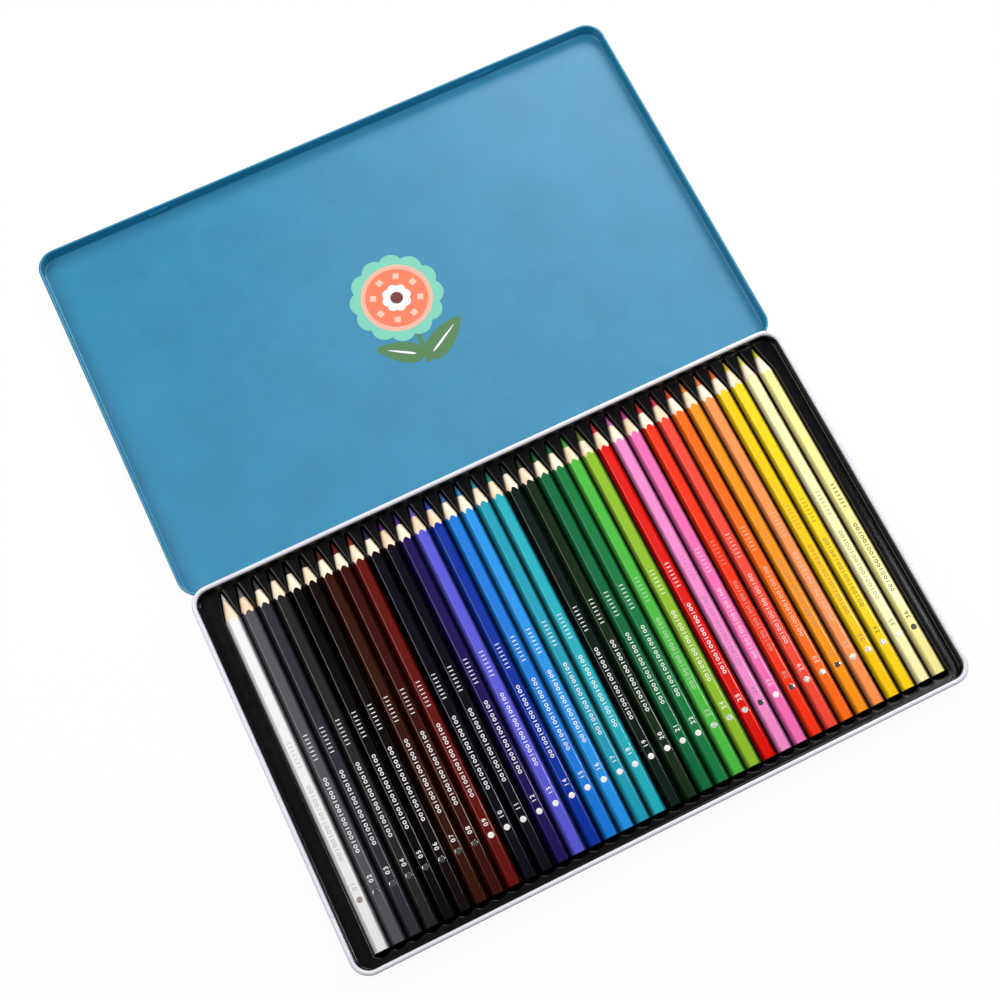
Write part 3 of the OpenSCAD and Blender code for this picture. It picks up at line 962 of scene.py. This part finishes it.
ink("leaf_green", "#4c7a4a")
leaves = ((30, 0.6, 60, 26), (148, -0.3, 62.5, 23))
stem = [
    (bloom_x + side * stem_half_w + stem_bend * math.sin(2.4 * k / 12),
     stem_foot + (bloom_y - stem_foot) * k / 12)
    for side, steps in ((1, range(13)), (-1, range(12, -1, -1))) for k in steps
]
printed(stem, 0)
for turn, foot_x, foot_y, size in leaves:
    printed(leaf(bloom_x + foot_x * MM, foot_y * MM, math.radians(turn), size * MM, 0.48 * size * MM), 1)
ink("mint", "#74c2ac")
printed(around_bloom(lambda a: bloom_r * (0.9 + 0.1 * abs(math.sin(6 * a)) ** 0.8)), 2)
ink("pale_coral", "#f4a894")
printed(around_bloom(lambda a: rim_r), 3)
ink("coral", "#ee7450")
printed(around_bloom(lambda a: disc_r), 4)
ink("pink", "#f2b8a4")
for k in range(8):
    middle = math.radians(45 * k + 22.5)
    spot_x = bloom_x + spot_ring_r * math.cos(middle)
    spot_y = bloom_y + spot_ring_r * math.sin(middle)
    printed([(spot_x + spot_r * math.cos(middle + c), spot_y + spot_r * math.sin(middle + c))
             for c in np.radians([45, 135, 225, 315])], 5)
ink("white", "#e9edf6")
printed(around_bloom(lambda a: middle_r * (0.86 + 0.14 * abs(math.cos(4 * a)))), 5)
for turn, foot_x, foot_y, size in leaves:
    turn = math.radians(turn)
    foot_x, foot_y = foot_x + vein_start * math.cos(turn), foot_y + vein_start * math.sin(turn)
    printed(leaf(bloom_x + foot_x * MM, foot_y * MM, turn, (size - vein_short) * MM, vein_w), 2)
ink("maroon", "#6c2c2a")
printed(around_bloom(lambda a: seed_r), 6)

lid_print = shape("lid_print", ink_mesh, inks[0])
for finish in inks[1:]:
    lid_print.data.materials.append(finish)
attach(lid_print, "lid")


# ---- Hinge wires ----
# Two lengths of bright drawn steel wire, 1 mm thick, one for each hinge. Each is pushed through the
# tray's knuckle and the lid's two, and holds them in line.

bright_wire = Finish("bright_drawn_wire", "#b8bcc0", Roughness=0.25, Metallic=1.0)
bright_wire.polish(bright_wire.noise(0.2 * MM, (20, 1, 1)), 0.18, 0.4)
bright_wire.relief(bright_wire.noise(0.1 * MM, (40, 1, 1)), 0.004 * MM)
for name in ("hinge_pin_left", "hinge_pin_right"):
    wire = frame["nodes"][name]
    wire.data.materials.clear()
    wire.data.materials.append(bright_wire.material)


# ---- Table, light and camera ----
# A white table, a polarised softbox overhead that reaches into the grooves between the pencils, three
# plain ones beside and behind the tin, and a camera that looks down on it as the photograph's does.

table_data = bpy.data.meshes.new("table_top")
table_half = 3.0
table_z = -0.05 * MM
table_white, table_glow, glow_share = 0.6, 1.03, 0.92
sky_strength = 0.08

corners = [(x * table_half, y * table_half, table_z) for x, y in ((-1, -1), (1, -1), (1, 1), (-1, 1))]
table_data.from_pydata(corners, [], [(0, 1, 2, 3)])
table = set_down("table_top", table_data)
table_paint = Finish("white_table", "#ffffff", Roughness=0.9)
table_paint.shader.inputs["Base Color"].default_value = (table_white, table_white, table_white, 1)

# The camera sees most of the table as bare white, and the tin is lit by its matte white
rays = table_paint.node("ShaderNodeLightPath")
glow = table_paint.node("ShaderNodeEmission")
glow.inputs["Strength"].default_value = table_glow
shown = table_paint.node("ShaderNodeMixShader")
seen = table_paint.node("ShaderNodeMath", operation="MULTIPLY")
seen.inputs[1].default_value = glow_share
table_paint.tree.links.new(rays.outputs["Is Camera Ray"], seen.inputs[0])
table_paint.tree.links.new(seen.outputs[0], shown.inputs[0])
table_paint.tree.links.new(table_paint.shader.outputs[0], shown.inputs[1])
table_paint.tree.links.new(glow.outputs[0], shown.inputs[2])
table_paint.tree.links.new(shown.outputs[0], table_paint.tree.nodes["Material Output"].inputs["Surface"])
table_data.materials.append(table_paint.material)

world = bpy.data.worlds.new("studio")
bpy.context.scene.world = world
world.use_nodes = True
sky = world.node_tree
fill = sky.nodes["Background"]
fill.inputs["Color"].default_value = (1, 1, 1, 1)
fill.inputs["Strength"].default_value = sky_strength
plain = sky.nodes.new("ShaderNodeBackground")
plain.inputs["Color"].default_value = (1, 1, 1, 1)
seen_by = sky.nodes.new("ShaderNodeLightPath")
either = sky.nodes.new("ShaderNodeMixShader")
sky.links.new(seen_by.outputs["Is Camera Ray"], either.inputs[0])
sky.links.new(fill.outputs[0], either.inputs[1])
sky.links.new(plain.outputs[0], either.inputs[2])
sky.links.new(either.outputs[0], sky.nodes["World Output"].inputs["Surface"])


def softbox(name, place, wide, deep, brightness, mirrored=True):
    """A square-edged lamp that faces the tin, as bright as brightness times a white sheet. A lamp
    with a polarising sheet isn't mirrored by what it lights."""
    lamp = bpy.data.lights.new(name, "AREA")
    lamp.shape = "RECTANGLE"
    lamp.size = wide
    lamp.size_y = deep
    lamp.energy = brightness * math.pi * wide * deep
    light = set_down(name, lamp)
    light.location = place
    light.rotation_euler = Vector(place).to_track_quat("Z", "Y").to_euler()
    light.visible_camera = False
    light.visible_glossy = mirrored


softbox("top_softbox", (0.08, 0.20, 0.75), 0.50, 0.50, 2.5, mirrored=False)
softbox("right_softbox", (0.54, -0.10, 0.43), 0.06, 0.60, 18)
softbox("left_softbox", (-0.60, 0.12, 0.68), 0.55, 0.60, 4.1)
softbox("back_softbox", (0.40, 0.62, 0.52), 0.50, 0.30, 9.2)

lens = 61.4
view_turn, view_height, view_roll = (math.radians(a) for a in (-26.547, 72.386, 0.585))
view_target = Vector((-3.902, -22.636, 13.5)) * MM
view_distance = 778.54 * MM
back = Vector((math.sin(view_turn) * math.cos(view_height),
               -math.cos(view_turn) * math.cos(view_height),
               math.sin(view_height)))
level_right = (-back).cross(Vector((0, 0, 1))).normalized()
level_up = level_right.cross(-back)
right = level_right * math.cos(view_roll) + level_up * math.sin(view_roll)
up = level_up * math.cos(view_roll) - level_right * math.sin(view_roll)
camera_data = bpy.data.cameras.new("camera")
camera_data.lens = lens
camera_data.sensor_width = 36
camera = set_down("camera", camera_data)
camera.matrix_world = Matrix.Translation(view_target + back * view_distance) @ Matrix(
    (right, up, back)).transposed().to_4x4()
bpy.context.scene.camera = camera
bpy.context.scene.view_settings.view_transform = "Standard"
